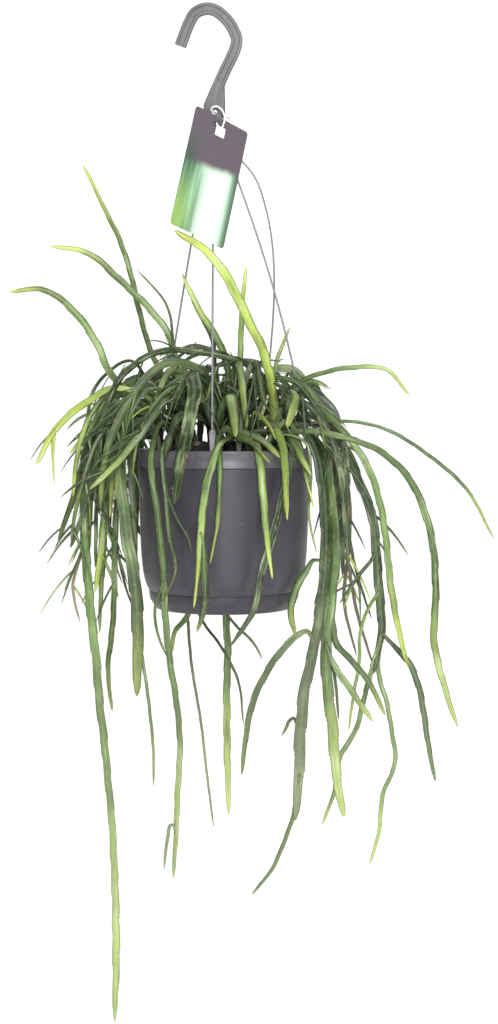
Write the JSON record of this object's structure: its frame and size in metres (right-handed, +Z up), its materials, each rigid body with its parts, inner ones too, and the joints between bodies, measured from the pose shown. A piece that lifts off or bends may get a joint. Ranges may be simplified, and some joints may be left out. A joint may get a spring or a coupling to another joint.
{
  "type": "potted lepismium bolivianum",
  "caption": "Hanging plastic pot on a hook with a forest cactus of flat, arching and trailing stems, a drip saucer, soil and a blank plant tag.",
  "frame": {"origin": "inner top of the hook's crown, where the rail or rod that carries it touches", "axes": "+Z up along the hanging direction, +X to the right and +Y away seen from the front, where the tag faces"},
  "size_m": [0.418, 0.2315, 0.8768],
  "materials": {
    "pot_plastic": "dark anthracite, semi-gloss",
    "saucer_plastic": "darker anthracite, semi-gloss",
    "hook_plastic": "grey moulded plastic",
    "strand_plastic": "grey flexible plastic",
    "tag_card": "printed card, dark grey over pale green",
    "tie_plastic": "white plastic",
    "soil": "dark potting soil",
    "stem_green": "living stems, dark green to yellow-green"
  },
  "bodies": {
    "root": {"hook": "hook_plastic", "plant_tag": "tag_card", "pot": "pot_plastic", "saucer": "saucer_plastic", "soil": "soil", "stems_centre_1": "stem_green", "stems_centre_2": "stem_green", "stems_centre_3": "stem_green", "stems_inner_1": "stem_green", "stems_inner_2": "stem_green", "stems_inner_3": "stem_green", "stems_inner_4": "stem_green", "stems_inner_5": "stem_green", "stems_inner_6": "stem_green", "stems_inner_7": "stem_green", "stems_middle_1": "stem_green", "stems_middle_10": "stem_green", "stems_middle_2": "stem_green", "stems_middle_3": "stem_green", "stems_middle_4": "stem_green", "stems_middle_5": "stem_green", "stems_middle_6": "stem_green", "stems_middle_7": "stem_green", "stems_middle_8": "stem_green", "stems_middle_9": "stem_green", "stems_outer_1": "stem_green", "stems_outer_10": "stem_green", "stems_outer_12": "stem_green", "stems_outer_13": "stem_green", "stems_outer_14": "stem_green", "stems_outer_2": "stem_green", "stems_outer_3": "stem_green", "stems_outer_4": "stem_green", "stems_outer_5": "stem_green", "stems_outer_6": "stem_green", "stems_outer_7": "stem_green", "stems_outer_8": "stem_green", "stems_outer_9": "stem_green", "strand_back": "strand_plastic", "strand_front": "strand_plastic", "strand_left": "strand_plastic", "strand_right": "strand_plastic", "tag_tie": "tie_plastic"}
  },
  "joints": []
}
